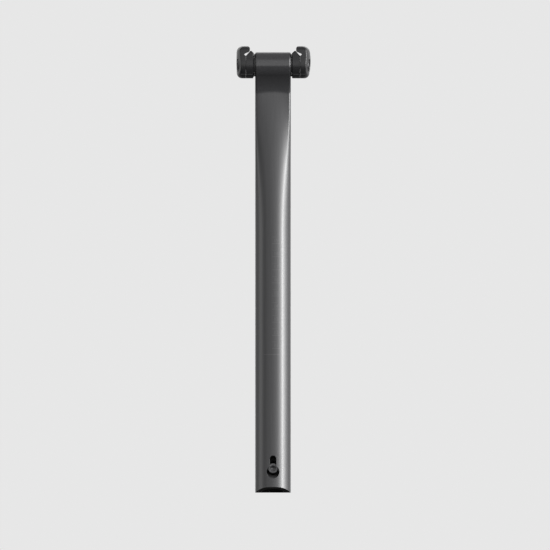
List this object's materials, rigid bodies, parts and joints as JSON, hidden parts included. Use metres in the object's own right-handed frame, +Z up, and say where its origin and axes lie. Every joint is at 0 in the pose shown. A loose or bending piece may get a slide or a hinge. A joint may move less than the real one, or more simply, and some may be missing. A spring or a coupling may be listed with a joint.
{
  "type": "bicycle seatpost",
  "caption": "Round carbon bicycle seatpost split lengthwise into two leaf springs, with side hook jaws for the saddle rails and a keyhole slot for setting the saddle angle.",
  "frame": {"origin": "middle of the post's lower end, on the axis of its round length", "axes": "+Z up the post towards the saddle, +Y the riding direction, +X across, towards the clamp bolts' heads"},
  "size_m": [0.0569, 0.042, 0.3405],
  "materials": {
    "carbon": "satin clear coat over carbon fibre",
    "jaw_alloy": "fine-blasted, black anodised",
    "axle_alloy": "turned",
    "bush_polymer": "moulded polymer",
    "black_steel": "black oxide",
    "brass_insert": "turned"
  },
  "bodies": {
    "front_half": {"front_leaf": "carbon", "front_bush_left": "bush_polymer", "front_bush_right": "bush_polymer", "tilt_bolt": "black_steel", "tilt_bolt_washer": "black_steel", "tilt_insert": "brass_insert"},
    "head": {"left_inner_jaw": "jaw_alloy", "right_inner_jaw": "jaw_alloy", "front_axle": "axle_alloy", "rear_axle": "axle_alloy"},
    "rear_half": {"rear_leaf": "carbon", "rear_bush_left": "bush_polymer", "rear_bush_right": "bush_polymer"},
    "right_jaw": {"right_outer_jaw": "jaw_alloy", "front_clamp_bolt": "black_steel", "rear_clamp_bolt": "black_steel", "front_bolt_washer": "black_steel", "rear_bolt_washer": "black_steel"},
    "left_jaw": {"left_outer_jaw": "jaw_alloy", "front_sleeve_nut": "black_steel", "rear_sleeve_nut": "black_steel"}
  },
  "joints": [
    {"name": "head_tilt", "type": "hinge", "parent": "front_half", "child": "head", "pos_m": [0, 0.011, 0.326], "axis": [1, 0, 0], "range_deg": [-7, 7]},
    {"name": "rear_leaf_swing", "type": "hinge", "parent": "head", "child": "rear_half", "pos_m": [0, -0.011, 0.326], "axis": [1, 0, 0], "range_deg": [-7, 7]},
    {"name": "right_jaw_open", "type": "slide", "parent": "head", "child": "right_jaw", "axis": [1, 0, 0], "range_m": [0, 0.008]},
    {"name": "left_jaw_open", "type": "slide", "parent": "head", "child": "left_jaw", "axis": [-1, 0, 0], "range_m": [0, 0.008]}
  ],
  "couplings": [
    {"joint": "rear_leaf_swing", "follows": "head_tilt", "ratio": -1}
  ]
}
